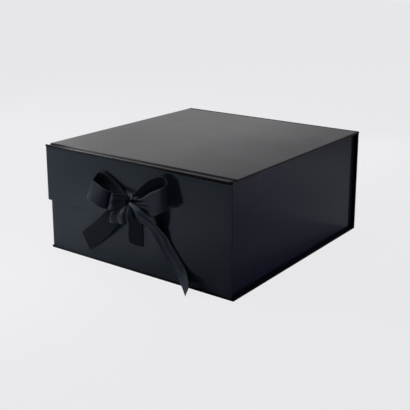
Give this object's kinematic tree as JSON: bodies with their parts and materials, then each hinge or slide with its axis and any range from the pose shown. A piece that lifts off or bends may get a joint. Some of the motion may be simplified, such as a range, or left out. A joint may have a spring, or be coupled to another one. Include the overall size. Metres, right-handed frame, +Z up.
{
  "type": "gift box",
  "caption": "Square rigid gift box with a hinged lid, a magnetic front flap and a flat ribbon tied in a bow on its front.",
  "frame": {"origin": "centre of the box's underside", "axes": "+X along the front to the right, +Y from the front to the back, +Z up"},
  "size_m": [0.31, 0.3581, 0.15],
  "materials": {
    "greyboard": "unprinted greyboard, matt",
    "wrap_paper": "black paper with a satin laminate",
    "lid_paper": "black paper with a satin laminate",
    "liner_paper": "uncoated black paper, matt",
    "fold_paper": "laminated black paper pressed into a fold",
    "ribbon": "woven black satin ribbon",
    "magnet": "plated disc magnet"
  },
  "bodies": {
    "root": {"base_board": "greyboard", "base_wrap": "wrap_paper", "back_board": "greyboard", "back_wrap": "wrap_paper", "tray_floor": "greyboard", "tray_front_wall": "greyboard", "tray_left_wall": "greyboard", "tray_right_wall": "greyboard", "tray_back_wall": "greyboard", "tray_wrap": "wrap_paper", "tray_liner": "liner_paper", "wall_magnets": "magnet", "wall_ribbon_anchor": "ribbon", "ribbon_lower_strand": "ribbon"},
    "lid": {"lid_board": "greyboard", "lid_wrap": "lid_paper", "lid_liner": "liner_paper", "back_hinge_strip": "fold_paper", "front_hinge_strip": "fold_paper"},
    "flap": {"flap_board": "greyboard", "flap_wrap": "wrap_paper", "flap_liner": "liner_paper", "flap_magnets": "magnet", "flap_ribbon_anchor": "ribbon", "ribbon_upper_strand": "ribbon", "bow_knot": "ribbon", "bow_left_loop": "ribbon", "bow_right_loop": "ribbon", "bow_pleats": "ribbon", "bow_left_tail": "ribbon", "bow_long_tail": "ribbon"}
  },
  "joints": [
    {"name": "lid_hinge", "type": "hinge", "parent": "root", "child": "lid", "pos_m": [0, 0.1625, 0.1492], "axis": [-1, 0, 0], "range_deg": [0, 180]},
    {"name": "flap_hinge", "type": "hinge", "parent": "lid", "child": "flap", "pos_m": [0, -0.1658, 0.1492], "axis": [-1, 0, 0], "range_deg": [0, 180]}
  ]
}
